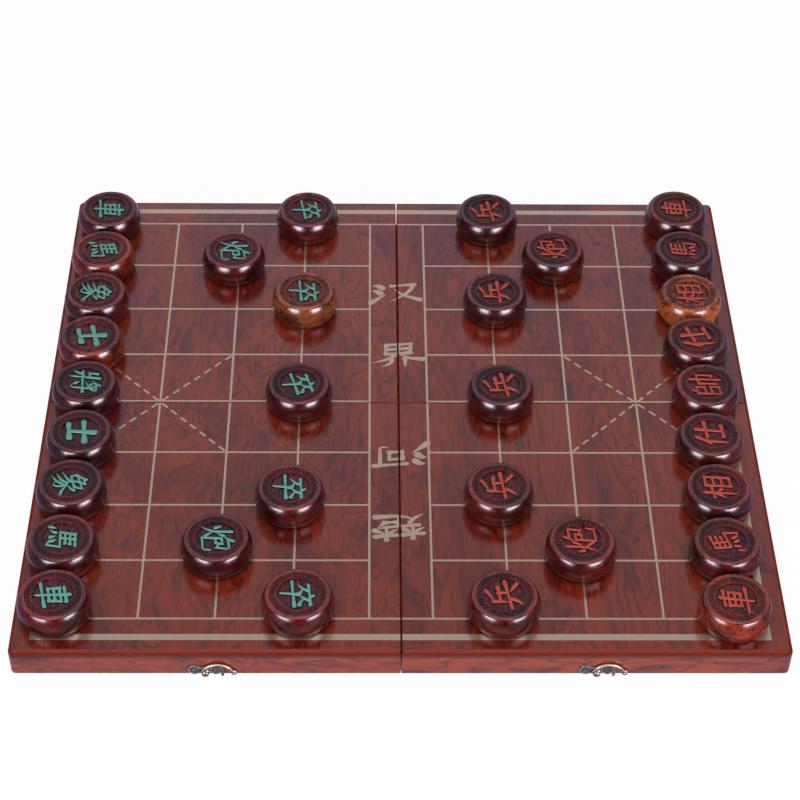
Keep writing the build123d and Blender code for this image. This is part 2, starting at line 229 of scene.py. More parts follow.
room_tint = add(tree, "ShaderNodeMix", {"data_type": "RGBA"}, {
    0: low_tint, 6: linear("#FCFAFF"), 7: linear("#F2ECFF")})
room = add(tree, "ShaderNodeBackground", inputs={"Color": room_tint, "Strength": strength})
add(tree, "ShaderNodeOutputWorld", inputs={"Surface": room})
scene.world = world


def softbox(name, place, aim, width, height, power):
    """A rectangular lamp of warm pink white: sizes in metres, power in watts."""
    lamp_data = bpy.data.lights.new(name, "AREA")
    lamp_data.shape = "RECTANGLE"
    lamp_data.size = width
    lamp_data.size_y = height
    lamp_data.energy = power
    lamp_data.color = linear("#FFF0FC")[:3]
    lamp = new_object(name, lamp_data)
    direction = Vector(aim) - Vector(place)
    lamp.matrix_world = (Matrix.Translation(place)
                         @ direction.to_track_quat("-Z", "Y").to_matrix().to_4x4())
    return lamp


set_middle = (0, 0, 0.03)
low_lamps = [
    softbox("softbox left", (-0.97, -1.18, 0.36), set_middle, 1.20, 0.56, 6.0),
    softbox("softbox left core", (-0.94, -1.18, 0.37), set_middle, 0.74, 0.62, 21.0),
    softbox("softbox right", (1.03, -1.14, 0.36), set_middle, 1.20, 0.56, 7.0),
    softbox("softbox right core", (0.98, -1.16, 0.37), set_middle, 0.78, 0.62, 25.0),
]
softbox("softbox above", (0.0, -0.15, 1.9), (0, 0, 0), 1.5, 1.1, 14.5)


# ---------------------------------------------------------------- cases: panels and rails
# Board panels and mitred rails of figured rosewood, sanded and sprayed with clear lacquer. The
# figure runs from front to back on the board and along each rail, and the rounded outer edges
# are cut through to redder wood.
def figured_rosewood(name, ground, warm, vein, shift, along, vein_size, vein_count, strength,
                     coat_roughness, turn_on_faces=False, edge=None, painted_top_light=None):
    """Lacquered rosewood. Contour lines of a warped, drawn-out noise make its dark swirling
    veins, and a second noise, drawn out more, its fine pores. along is how much shorter than
    real the pattern is read along the grain, and vein_size is the size of a swirl in
    millimetres. edge is the colour of the rounded edges, and the factors for the top multiply
    the colour of the faces that look up, a painted light from above."""
    material, tree = new_material(name)
    place = add(tree, "ShaderNodeTexCoord").outputs["Object"]
    facing = add(tree, "ShaderNodeSeparateXYZ", inputs={
        0: add(tree, "ShaderNodeTexCoord").outputs["Normal"]})

    def read_along_y(stretch):
        """Object coordinates with the grain along Y, or along X on the front and back faces."""
        lengthwise = add(tree, "ShaderNodeMapping", inputs={
            "Vector": place, "Location": shift, "Scale": (1, stretch, 1)})
        if not turn_on_faces:
            return lengthwise
        crosswise = add(tree, "ShaderNodeMapping", inputs={
            "Vector": place, "Location": shift, "Scale": (stretch, 1, 1)})
        steep = add(tree, "ShaderNodeMath", {"operation": "ABSOLUTE"}, {0: facing.outputs["Y"]})
        on_face = add(tree, "ShaderNodeMath", {"operation": "GREATER_THAN"}, {0: steep, 1: 0.7})
        return add(tree, "ShaderNodeMix", {"data_type": "VECTOR"}, {
            0: on_face, 4: lengthwise, 5: crosswise})

    grain_place = read_along_y(along)
    warp = add(tree, "ShaderNodeTexNoise", inputs={
        "Vector": grain_place, "Scale": 0.45 / (vein_size * MM), "Detail": 2.0})
    bend = add(tree, "ShaderNodeVectorMath", {"operation": "SUBTRACT"},
               {0: warp.outputs["Color"], 1: (0.5, 0.5, 0.5)})
    bend = add(tree, "ShaderNodeVectorMath", {"operation": "SCALE"},
               {0: bend, "Scale": 1.5 * vein_size * MM})
    bent = add(tree, "ShaderNodeVectorMath", {"operation": "ADD"}, {0: grain_place, 1: bend})
    figure = add(tree, "ShaderNodeTexNoise", inputs={
        "Vector": bent, "Scale": 1.0 / (vein_size * MM), "Detail": 3.0, "Roughness": 0.45})
    rings = add(tree, "ShaderNodeMath", {"operation": "MULTIPLY"}, {0: figure, 1: vein_count})
    rings = add(tree, "ShaderNodeMath", {"operation": "PINGPONG"}, {0: rings, 1: 0.5})
    lines = add(tree, "ShaderNodeMapRange", SMOOTH, {
        "Value": rings, "From Min": 0.0, "From Max": 0.14, "To Min": strength, "To Max": 0.0})
    patch = add(tree, "ShaderNodeTexNoise", inputs={
        "Vector": bent, "Scale": 0.6 / (vein_size * MM), "Detail": 3.0})
    patches = add(tree, "ShaderNodeSeparateColor", inputs={0: patch.outputs["Color"]})
    patchy, fine_patchy, cloud = [
        add(tree, "ShaderNodeMapRange", SMOOTH, {
            "Value": patches.outputs[channel], "From Min": start, "From Max": end})
        for channel, start, end in (("Red", 0.34, 0.58), ("Green", 0.42, 0.62),
                                    ("Blue", 0.34, 0.58))]
    veins = add(tree, "ShaderNodeMath", {"operation": "MULTIPLY"}, {0: lines, 1: patchy})
    # finer lines between them, in other places
    fine = add(tree, "ShaderNodeMath", {"operation": "MULTIPLY"}, {0: figure, 1: 2.7 * vein_count})
    fine = add(tree, "ShaderNodeMath", {"operation": "PINGPONG"}, {0: fine, 1: 0.5})
    fine_lines = add(tree, "ShaderNodeMapRange", SMOOTH, {
        "Value": fine, "From Min": 0.05, "From Max": 0.35, "To Min": 0.4 * strength, "To Max": 0.0})
    fine_veins = add(tree, "ShaderNodeMath", {"operation": "MULTIPLY_ADD"}, {
        0: fine_lines, 1: fine_patchy, 2: veins})
    # broad bands of darker heartwood that follow the lines
    bands = add(tree, "ShaderNodeMapRange", SMOOTH, {
        "Value": rings, "From Max": 0.5, "To Min": -0.25, "To Max": 0.25})
    warmth = add(tree, "ShaderNodeMath", {"operation": "ADD", "use_clamp": True},
                 {0: cloud, 1: bands})
    tone = add(tree, "ShaderNodeMix", {"data_type": "RGBA"}, {
        0: warmth, 6: linear(ground), 7: linear(warm)})
    # soft smudges of dark heartwood
    smudge = add(tree, "ShaderNodeTexNoise", inputs={
        "Vector": bent, "Scale": 2.1 / (vein_size * MM), "Detail": 3.0})
    smudged = add(tree, "ShaderNodeMapRange", SMOOTH, {
        "Value": smudge, "From Min": 0.54, "From Max": 0.72, "To Max": 0.85 * strength})
    # dark grain lines, 3 mm apart and long, that wave with the figure
    grain = add(tree, "ShaderNodeMapping", {}, {"Vector": bent, "Scale": (1, 0.35, 1)})
    grain = add(tree, "ShaderNodeTexNoise", inputs={
        "Vector": grain, "Scale": 7.0 / (vein_size * MM), "Detail": 2.0})
    grainy = add(tree, "ShaderNodeMapRange", SMOOTH, {
        "Value": grain, "From Min": 0.50, "From Max": 0.68, "To Max": 0.5 * strength})
    for amount in (fine_veins, smudged, grainy):
        tone = add(tree, "ShaderNodeMix", {"data_type": "RGBA"},
                   {0: amount, 6: tone, 7: linear(vein)})
    # pores 0.8 mm apart and ten times as long, drawn a little coarse so that they show
    pores = add(tree, "ShaderNodeTexNoise", inputs={
        "Vector": read_along_y(0.08), "Scale": 1.0 / (0.8 * MM), "Detail": 2.0})
    shade = add(tree, "ShaderNodeMapRange", inputs={
        "Value": pores, "From Min": 0.35, "From Max": 0.65, "To Min": 0.82, "To Max": 1.10})
    colour = add(tree, "ShaderNodeVectorMath", {"operation": "SCALE"}, {0: tone, "Scale": shade})
    # painted light from above: the faces that look up are made lighter by these factors
    if painted_top_light:
        upward = add(tree, "ShaderNodeMapRange", inputs={
            "Value": facing.outputs["Z"], "From Min": 0.6, "From Max": 0.95})
        gain = add(tree, "ShaderNodeMix", {"data_type": "VECTOR"}, {
            0: upward, 4: (1, 1, 1), 5: painted_top_light})
        colour = add(tree, "ShaderNodeVectorMath", {"operation": "MULTIPLY"}, {0: colour, 1: gain})
    coat = 1.0
    if edge:
        # the roundings are between an upright face and the flat top by the Z of their normal; the
        # lacquer is thin and dull there, and upright faces are duller and painted darker and less
        # warm, a painted shade
        upright_z, flat_z = 0.08, 0.985
        thin_coat, thin_roughness, upright_roughness = 0.35, 0.42, 0.12
        rounding = add(tree, "ShaderNodeMath", {"operation": "COMPARE"}, {
            0: facing.outputs["Z"], 1: (upright_z + flat_z) / 2, 2: (flat_z - upright_z) / 2})
        colour = add(tree, "ShaderNodeMix", {"data_type": "RGBA"},
                     {0: rounding, 6: colour, 7: linear(edge)})
        coat_roughness, coat = [
            add(tree, "ShaderNodeMapRange", inputs={
                "Value": rounding, "To Min": full, "To Max": thin})
            for full, thin in ((coat_roughness, thin_roughness), (coat, thin_coat))]
        upright = add(tree, "ShaderNodeMath", {"operation": "LESS_THAN"},
                      {0: facing.outputs["Z"], 1: upright_z})
        coat_roughness = add(tree, "ShaderNodeMath", {"operation": "MULTIPLY_ADD"},
                             {0: upright, 1: upright_roughness, 2: coat_roughness})
        # painted shade: the colour of the upright faces is darkened
        shaded = add(tree, "ShaderNodeMix", {"data_type": "VECTOR"},
                     {0: upright, 4: (1, 1, 1), 5: (0.70, 0.92, 1.0)})
        colour = add(tree, "ShaderNodeVectorMath", {"operation": "MULTIPLY"},
                     {0: colour, 1: shaded})
    wood = add(tree, "ShaderNodeBsdfPrincipled", inputs={
        "Base Color": colour, "Roughness": 0.5, "IOR": 1.5, "Specular IOR Level": 0.0,
        "Coat Weight": coat, "Coat Roughness": coat_roughness, "Coat IOR": 1.6})
    end_with(tree, wood)
    return material


def dress(node, material):
    """Gives a CAD node's object a finish in place of its plain one."""
    shown = frame["nodes"][node]
    if not shown.data.materials:
        shown.data.materials.append(material)
    for slot in shown.material_slots:
        slot.material = material


case_tones = {  # ground, warm, where the pattern is read, how drawn out it is
    "left_back": ("#5A150B", "#762810", (0.93, 0.44, 0.13), 0.34),
    "left_front": ("#58140A", "#74260D", (1.72, 0.35, 0.44), 0.42),
    "right_back": ("#58140A", "#74260E", (2.61, 1.24, 0.71), 0.30),
    "right_front": ("#5A1409", "#76270C", (5.37, 2.61, 0.92), 0.22),
}
for quarter, (ground, warm, shift, along) in case_tones.items():
    case_wood = figured_rosewood(
        f"lacquered rosewood {quarter}", ground, warm, "#2A0812", shift, along, vein_size=26.0,
        vein_count=12.0, strength=0.6, coat_roughness=0.17, turn_on_faces=True, edge="#701E02")
    dress(f"{quarter}_panel", case_wood)
    dress(f"{quarter}_frame", case_wood)


# ---------------------------------------------------------------- playing lines
# The ruled lines, the border band and the broken lines of the two palaces, printed on the board
# in champagne-coloured paint under the lacquer. Each is a film on the tray that it lies on.
def new_tree(name, inputs, output):
    """A geometry tree with these sockets, and the outputs of its group input."""
    tree = bpy.data.node_groups.new(name, "GeometryNodeTree")
    for socket, kind in inputs.items():
        tree.interface.new_socket(socket, in_out="INPUT", socket_type=f"NodeSocket{kind}")
    tree.interface.new_socket(output, in_out="OUTPUT", socket_type="NodeSocketGeometry")
    return tree, add(tree, "NodeGroupInput").outputs


def bar_tree():
    """Bars in a row: one box at each point of a line of points."""
    tree, sizes = new_tree("bars in a row", {
        "Count": "Int", "First": "Vector", "Step": "Vector", "Size": "Vector", "Turn": "Float",
        "Finish": "Material"}, "Bars")
    row = add(tree, "GeometryNodeMeshLine", {"mode": "OFFSET"}, {
        "Count": sizes["Count"], "Start Location": sizes["First"], "Offset": sizes["Step"]})
    bar = add(tree, "GeometryNodeMeshCube", inputs={"Size": sizes["Size"]})
    turn = add(tree, "ShaderNodeCombineXYZ", inputs={"Z": sizes["Turn"]})
    placed = add(tree, "GeometryNodeInstanceOnPoints", inputs={
        "Points": row, "Instance": bar, "Rotation": turn})
    solid = add(tree, "GeometryNodeRealizeInstances", inputs={0: placed})
    finished = add(tree, "GeometryNodeSetMaterial", inputs={
        "Geometry": solid, "Material": sizes["Finish"]})
    add(tree, "NodeGroupOutput", inputs={"Bars": finished})
    return tree


def make_mesh(tree, **values):
    """The plain mesh that a geometry tree makes with these inputs."""
    maker = new_object("maker", bpy.data.meshes.new("maker"))
    nodes = maker.modifiers.new("nodes", "NODES")
    nodes.node_group = tree
    for socket in tree.interface.items_tree:
        if socket.in_out == "INPUT":
            nodes[socket.identifier] = values[socket.name]
    evaluated = maker.evaluated_get(bpy.context.evaluated_depsgraph_get())
    mesh = bpy.data.meshes.new_from_object(evaluated)
    bpy.data.objects.remove(maker)
    return mesh


river_x, fold_y, seam_round = 0.4, 0.15, 0.8
board_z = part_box("left_back_panel")[1][2] / MM


def lay_on_board(bm):
    """Bends a film over the small roundings along the river and the fold, in millimetres."""
    for axis, edge in ((0, river_x), (1, fold_y)):
        for sign in (-1, 1):
            for step in (0.05, 0.2, 0.45, 0.8):
                normal, point = Vector((0, 0, 0)), Vector((0, 0, 0))
                normal[axis] = 1
                point[axis] = sign * (edge + step)
                bmesh.ops.bisect_plane(bm, geom=bm.verts[:] + bm.edges[:] + bm.faces[:],
                                       plane_co=point, plane_no=normal, dist=1e-5)
    for vert in bm.verts:
        for place, edge in ((vert.co.x, river_x), (vert.co.y, fold_y)):
            inside = min(max(edge + seam_round - abs(place), 0), seam_round)
            vert.co.z -= seam_round - sqrt(seam_round**2 - inside**2)


def to_metres(bm, mesh):
    """Writes a mesh that was worked in millimetres."""
    bmesh.ops.scale(bm, vec=(MM, MM, MM), verts=bm.verts)
    bm.to_mesh(mesh)
    bm.free()


# champagne paint: fine metal flake in varnish, which shines pale where it mirrors the room
line_paint, tree = new_material("champagne line paint")
flake = add(tree, "ShaderNodeTexNoise", inputs={
    "Vector": add(tree, "ShaderNodeTexCoord").outputs["Object"], "Scale": 1.0 / (3.0 * MM)})
paint_tone = add(tree, "ShaderNodeMix", {"data_type": "RGBA"}, {
    0: flake, 6: linear("#A4957E"), 7: linear("#B6A790")})
end_with(tree, add(tree, "ShaderNodeBsdfPrincipled", inputs={
    "Base Color": paint_tone, "Metallic": 0.68, "Roughness": 0.18,
    "Coat Weight": 0.5, "Coat Roughness": 0.1}))

cell, bank_x, far_line_y, outer_gap = 50.0, 20.7, 200.0, 15.3
line_width, band_width, film = 1.55, 5.0, 0.1
end_line_x = bank_x + 4 * cell
band_x, band_y = end_line_x + outer_gap, far_line_y + outer_gap
seam_lap = 0.12          # the film stops this short of the very edge
bars = bar_tree()
for side, sx in (("left", -1), ("right", 1)):
    for half, sy in (("back", 1), ("front", -1)):
        near_x, near_y = river_x + seam_lap, fold_y + seam_lap
        fold_reach = far_line_y - near_y
        river_reach = end_line_x - near_x
        band_end = band_x + band_width / 2
        rows = [  # count, first place, step, bar (x, y), turn; heights differ so none coincide
            (5, (sx * bank_x, sy * (near_y + far_line_y) / 2), (sx * cell, 0),
             (line_width, fold_reach), 0),
            (3, (sx * (bank_x + end_line_x) / 2, sy * cell), (0, sy * cell),
             (end_line_x - bank_x, line_width), 0),
            (1, (sx * (near_x + end_line_x + line_width / 2) / 2, sy * far_line_y), (0, 0),
             (river_reach + line_width / 2, line_width), 0),
            (1, (sx * band_x, sy * (near_y + band_y) / 2), (0, 0),
             (band_width, band_y - near_y), 0),
            (1, (sx * (near_x + band_end) / 2, sy * band_y), (0, 0),
             (band_end - near_x, band_width), 0),
        ]
        if half == "back":
            rows.append((1, (sx * (bank_x + end_line_x) / 2, near_y + line_width / 2), (0, 0),
                         (end_line_x - bank_x, line_width), 0))
        dash_pitch = cell * sqrt(2) / 7
        palace_x = bank_x + 3 * cell
        for out in (-1, 1):
            along = dash_pitch / sqrt(2)
            rows.append((7, (sx * (palace_x + out * along / 2), sy * along / 2),
                         (sx * out * along, sy * along), (6.0, line_width),
                         pi / 4 * sx * sy * out))
        bm = bmesh.new()
        for level, (count, first, step, size, turn) in enumerate(rows):
            top = board_z + 0.03 + 0.005 * level
            bars_mesh = make_mesh(
                bars, Count=count, First=(*first, top - film / 2), Step=(*step, 0.0),
                Size=(*size, film), Turn=turn, Finish=line_paint)
            bm.from_mesh(bars_mesh)
            bpy.data.meshes.remove(bars_mesh)
        lay_on_board(bm)
        mesh = bpy.data.meshes.new(f"{side}_{half}_lines")
        to_metres(bm, mesh)
        mesh.materials.append(line_paint)
        lines_piece = new_object(f"{side}_{half}_lines", mesh)
        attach(lines_piece, f"{side}_{half}")


# ---------------------------------------------------------------- river legend
# The four words that name the river, written with a broad brush in the same paint: two face the
# back and two the front. The gap between the cases parts each of them.
brush = {  # how wide at the start, middle and end, whether each end is blunt, whether it curves
    "heng": (1.15, 0.70, 1.40, True, True, False),     # level
    "shu": (1.40, 0.85, 0.80, True, True, False),      # upright
    "bend": (1.05, 0.85, 0.90, True, True, False),     # with a corner
    "pie": (1.25, 0.95, 0.12, True, False, True),      # falls left, ends in a point
    "na": (0.35, 0.95, 1.55, False, True, True),       # falls right, ends broad
    "dot": (0.30, 1.10, 1.35, False, True, True),
    "drop": (0.30, 1.45, 1.90, False, True, True),
    "flick": (1.75, 1.05, 0.12, True, False, True),    # short, rises to a point
    "hook": (1.10, 0.95, 0.20, True, False, True),
}


def smooth_path(points):
    """Points of a smooth curve through these ones."""
    steps = 5
    ends = [2 * points[0] - points[1], *points, 2 * points[-1] - points[-2]]
    curve = []
    for before, a, b, after in zip(ends, ends[1:], ends[2:], ends[3:]):
        for step in range(steps):
            t = step / steps
            curve.append(0.5 * (2 * a + (b - before) * t
                                + (2 * before - 5 * a + 4 * b - after) * t * t
                                + (3 * a - before - 3 * b + after) * t**3))
    return [*curve, points[-1]]


def even_path(points):
    """The same polyline with points added along its runs."""
    steps = 4
    path = []
    for a, b in zip(points, points[1:]):
        path += [a.lerp(b, step / steps) for step in range(steps)]
    return [*path, points[-1]]


def brush_stroke(bm, kind, points, width, low, high, ease):
    """Adds one stroke to a mesh as a closed solid with eased top edges. The faces on top get
    material 1 and the others 0."""
    start, middle, end, blunt_start, blunt_end, curved = brush[kind]
    blunt_steps = ((0.55, 0.86), (0.95, 0.45))   # how far on and how wide, in half widths
    points = [Vector(point) for point in points]
    path = smooth_path(points) if curved else even_path(points)
    lengths = [0.0]
    for a, b in zip(path, path[1:]):
        lengths.append(lengths[-1] + (b - a).length)
    stations = []
    for i, place in enumerate(path):
        t = lengths[i] / lengths[-1]
        if t < 0.5:
            wide = start + (middle - start) * 2 * t
        else:
            wide = middle + (end - middle) * (2 * t - 1)
        before = (path[i] - path[i - 1]).normalized() if i else None
        after = (path[i + 1] - path[i]).normalized() if i < len(path) - 1 else None
        way = ((before or after) + (after or before)).normalized()
        mitre = 1 / max(way.dot(after or before), 0.6)
        stations.append((place, way, width * wide / 2, mitre))
    if blunt_start:
        place, way, half, mitre = stations[0]
        for back, narrow in blunt_steps:
            stations.insert(0, (place - way * half * back, way, half * narrow, 1.0))
    if blunt_end:
        place, way, half, mitre = stations[-1]
        for on, narrow in blunt_steps:
            stations.append((place + way * half * on, way, half * narrow, 1.0))
    rows = []
    for place, way, half, mitre in stations:
        across = Vector((-way.y, way.x))
        round_in = min(ease, half * 0.5)
        rounding = [(half - round_in * (1 - cos(pi / 6 * k)), high - ease * (1 - sin(pi / 6 * k)))
                    for k in range(4)]
        row = []
        other_side = [(-x, z) for x, z in rounding[::-1]]
        for reach, z in ((half, low), *rounding, *other_side, (-half, low)):
            flat = place + across * reach * mitre
            row.append(bm.verts.new((flat.x, flat.y, z)))
        rows.append(row)
    for row, after in zip(rows, rows[1:]):
        for k in range(len(row)):
            j = (k + 1) % len(row)
            face = bm.faces.new((row[k], row[j], after[j], after[k]))
            face.material_index = 1 if 1 <= k <= 7 else 0   # 0, 8 and 9: walls and underside
    bm.faces.new(rows[0][::-1])
    bm.faces.new(rows[-1])


def write(bm, strokes, size_x, size_y, width, low, high, ease):
    """Adds a written word to a mesh, upright and centred on the origin. Its level strokes rise
    a little to the right, as a hand writes them."""
    rise = 0.17
    for count, (kind, *points) in enumerate(strokes):
        spread = [((x - 50) / 100 * size_x, (y - 50 + rise * (x - 50)) / 100 * size_y)
                  for x, y in points]
        brush_stroke(bm, kind, spread, width, low, high + 0.012 * count, ease)


def take_in(bm, part):
    """Adds the faces of one mesh to another, and frees the first."""
    mesh = bpy.data.meshes.new("part")
    part.to_mesh(mesh)
    part.free()
    bm.from_mesh(mesh)
    bpy.data.meshes.remove(mesh)


water = [
    ("drop", (2, 92), (12, 88), (20, 78)), ("drop", (0, 66), (8, 62), (16, 52)),
    ("flick", (-2, 8), (12, 26), (27, 44)),
]
river_words = {
    "han": water + [
        ("heng", (38, 84), (84, 85)), ("pie", (84, 86), (70, 46), (36, 6)),
        ("na", (44, 68), (64, 34), (95, 8))],
    "jie": [
        ("shu", (28, 98), (26, 56)), ("bend", (28, 98), (76, 98), (73, 56)),
        ("heng", (27, 77), (74, 77)), ("shu", (51, 98), (50, 57)), ("heng", (26, 56), (74, 56)),
        ("pie", (48, 54), (30, 32), (0, 20)), ("na", (52, 54), (72, 32), (100, 22)),
        ("pie", (38, 30), (36, 14), (20, -2)), ("shu", (64, 30), (64, 0))],
    "he": water + [
        ("heng", (36, 86), (96, 86)), ("shu", (44, 64), (44, 32)),
        ("bend", (44, 64), (68, 64), (68, 34)), ("heng", (44, 34), (68, 34)),
        ("hook", (85, 86), (85, 40), (84, 12), (68, 14))],
    "chu": [
        ("heng", (8, 82), (44, 82)), ("shu", (27, 97), (27, 56)),
        ("pie", (25, 80), (18, 68), (6, 58)), ("dot", (30, 74), (36, 68), (42, 62)),
        ("heng", (56, 82), (94, 82)), ("shu", (74, 97), (74, 56)),
        ("pie", (72, 80), (64, 68), (53, 58)), ("na", (77, 76), (86, 66), (95, 58)),
        ("bend", (16, 48), (86, 48), (82, 38)), ("shu", (52, 46), (52, 12)),
        ("heng", (54, 30), (78, 30)), ("pie", (32, 36), (24, 20), (8, 6)),
        ("na", (24, 24), (50, 8), (94, 5))],
}
word_places = [("han", 119.0, 1), ("jie", 50.0, 1), ("he", -53.0, -1), ("chu", -120.0, -1)]
word_width, word_height, word_brush = 38.0, 23.0, 2.8
word_film = 0.06
for side, sx in (("left", -1), ("right", 1)):
    for half, sy in (("back", 1), ("front", -1)):
        bm = bmesh.new()
        for word, place_y, up in word_places:
            if place_y * sy < 0:
                continue
            written = bmesh.new()
            write(written, river_words[word], word_width, word_height, word_brush,
                  board_z - word_film, board_z + word_film, word_film / 4)
            bmesh.ops.transform(
                written, verts=written.verts,
                matrix=Matrix.Translation((0, place_y, 0)) @ Matrix.Rotation(
                    0 if up > 0 else pi, 4, "Z"))
            cut = bmesh.ops.bisect_plane(
                written, geom=written.verts[:] + written.edges[:] + written.faces[:],
                plane_co=(sx * (river_x + seam_lap), 0, 0), plane_no=(sx, 0, 0),
                clear_inner=True, dist=1e-5)
            rim = [item for item in cut["geom_cut"] if isinstance(item, bmesh.types.BMEdge)]
            bmesh.ops.holes_fill(written, edges=rim)
            take_in(bm, written)
        lay_on_board(bm)
        bmesh.ops.recalc_face_normals(bm, faces=bm.faces)
        mesh = bpy.data.meshes.new(f"{side}_{half}_river_words")
        to_metres(bm, mesh)
        mesh.materials.append(line_paint)
        mesh.polygons.foreach_set("material_index", [0] * len(mesh.polygons))
        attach(new_object(f"{side}_{half}_river_words", mesh), f"{side}_{half}")


# ---------------------------------------------------------------- playing pieces
# Turned rosewood draughts with a barrel side. The rim stands round a carved fret between two
# fine beads, and the middle is sunk, stained dark and leaves the written mark standing, painted
# green or red. One blank is turned here, and every piece is a copy of it in its own wood.
piece_height = 19.3
top_radius, belly_radius, foot_radius = 21.0, 24.0, 21.5
ring_outer, ring_inner = 18.3, 13.6
ring_depth, field_depth = 0.7, 1.6
rim_ease, foot_ease = 0.9, 0.6
turned_sides = 96


def barrel_profile():
    """Points (radius, height) up the barrel side: an arc through foot, belly and rim."""
    ax, ay = foot_radius, 0.0
    bx, by = belly_radius, piece_height / 2
    cx, cy = top_radius, piece_height
    d = 2 * (ax * (by - cy) + bx * (cy - ay) + cx * (ay - by))
    ux = ((ax**2 + ay**2) * (by - cy) + (bx**2 + by**2) * (cy - ay)
          + (cx**2 + cy**2) * (ay - by)) / d
    uy = ((ax**2 + ay**2) * (cx - bx) + (bx**2 + by**2) * (ax - cx)
          + (cx**2 + cy**2) * (bx - ax)) / d
    radius = hypot(bx - ux, by - uy)
    steps = 20
    heights = [piece_height * i / steps for i in range(steps + 1)]
    return [(ux + sqrt(radius**2 - (z - uy)**2), z) for z in heights]


def turn_blank(bm):
    """Adds the turned blank. The stained walls and field are material 1, the floor under the
    fret, black as a painted shade in its narrow gaps, is 3, and the rest is 0."""
    top, ring_floor = piece_height, piece_height - ring_depth
    field = piece_height - field_depth
    profile = barrel_profile() + [
        (ring_outer, top), (ring_outer, ring_floor), (ring_inner, ring_floor), (ring_inner, field)]
    first_stained = len(barrel_profile())
    loops = []
    for radius, z in profile:
        loops.append([bm.verts.new((radius * cos(2 * pi * i / turned_sides),
                                    radius * sin(2 * pi * i / turned_sides), z))
                      for i in range(turned_sides)])
    for count, (lower, upper) in enumerate(zip(loops, loops[1:])):
        for i in range(turned_sides):
            j = (i + 1) % turned_sides
            face = bm.faces.new((lower[i], lower[j], upper[j], upper[i]))
            # the floor under the fret gets the black of painted shade
            face.material_index = 3 if count == first_stained + 1 else int(count >= first_stained)
    foot = bm.verts.new((0, 0, 0))
    middle = bm.verts.new((0, 0, field))
    for i in range(turned_sides):
        j = (i + 1) % turned_sides
        bm.faces.new((foot, loops[0][j], loops[0][i]))
        bm.faces.new((middle, loops[-1][i], loops[-1][j])).material_index = 1
    bm.edges.ensure_lookup_table()
    for loop, ease, segments in ((0, foot_ease, 2), (first_stained - 1, rim_ease, 5),
                                 (first_stained, 0.2, 2)):
        ring = set(loops[loop])
        edges = [edge for edge in bm.edges if edge.verts[0] in ring and edge.verts[1] in ring]
        bmesh.ops.bevel(bm, geom=edges, offset=ease, segments=segments, profile=0.5,
                        affect="EDGES", clamp_overlap=True)


def fret_tree():
    """A running square fret inside a plain bead, bent round a circle. It is laid out on a grid
    of small squares, five to each turn of the fret and nine across the ring."""
    tree, sizes = new_tree("running fret", {
        "Turns": "Int", "Inner Radius": "Float", "Outer Radius": "Float", "Low": "Float",
        "High": "Float", "Finish": "Material"}, "Fret")
    across, along = 9, 5
    pattern = [  # each bar from x to x and from y to y on the grid
        (0, 5, 0, 1.2), (0, 5, 2.5, 3.3), (0, 0.8, 3.3, 7.9), (0.8, 3.6, 7.1, 7.9),
        (2.8, 3.6, 4.9, 7.1)]
    joined = add(tree, "GeometryNodeJoinGeometry")
    for x0, x1, y0, y1 in pattern:
        bar = add(tree, "GeometryNodeMeshCube", inputs={
            "Size": (x1 - x0, y1 - y0, 1), "Vertices X": 4 if x1 - x0 > 2 else 2})
        placed = add(tree, "GeometryNodeTransform", inputs={
            "Geometry": bar, "Translation": ((x0 + x1) / 2, (y0 + y1) / 2, 0.5)})
        tree.links.new(placed.outputs[0], joined.inputs[0])
    row = add(tree, "GeometryNodeMeshLine", {"mode": "OFFSET"}, {
        "Count": sizes["Turns"], "Offset": (along, 0, 0)})
    repeated = add(tree, "GeometryNodeInstanceOnPoints", inputs={"Points": row, "Instance": joined})
    solid = add(tree, "GeometryNodeRealizeInstances", inputs={0: repeated})
    flat = add(tree, "ShaderNodeSeparateXYZ", inputs={0: add(tree, "GeometryNodeInputPosition")})
    length = add(tree, "ShaderNodeMath", {"operation": "MULTIPLY"},
                 {0: sizes["Turns"], 1: -along / (2 * pi)})
    angle = add(tree, "ShaderNodeMath", {"operation": "DIVIDE"}, {0: flat.outputs["X"], 1: length})
    radius = add(tree, "ShaderNodeMapRange", inputs={
        "Value": flat.outputs["Y"], "From Max": float(across),
        "To Min": sizes["Inner Radius"], "To Max": sizes["Outer Radius"]})
    height = add(tree, "ShaderNodeMapRange", inputs={
        "Value": flat.outputs["Z"], "To Min": sizes["Low"], "To Max": sizes["High"]})
    round_x = add(tree, "ShaderNodeMath", {"operation": "COSINE"}, {0: angle})
    round_y = add(tree, "ShaderNodeMath", {"operation": "SINE"}, {0: angle})
    place_x = add(tree, "ShaderNodeMath", {"operation": "MULTIPLY"}, {0: round_x, 1: radius})
    place_y = add(tree, "ShaderNodeMath", {"operation": "MULTIPLY"}, {0: round_y, 1: radius})
    place = add(tree, "ShaderNodeCombineXYZ", inputs={"X": place_x, "Y": place_y, "Z": height})
    bent = add(tree, "GeometryNodeSetPosition", inputs={"Geometry": solid, "Position": place})
    finished = add(tree, "GeometryNodeSetMaterial", inputs={
        "Geometry": bent, "Material": sizes["Finish"]})
    add(tree, "NodeGroupOutput", inputs={"Fret": finished})
    return tree


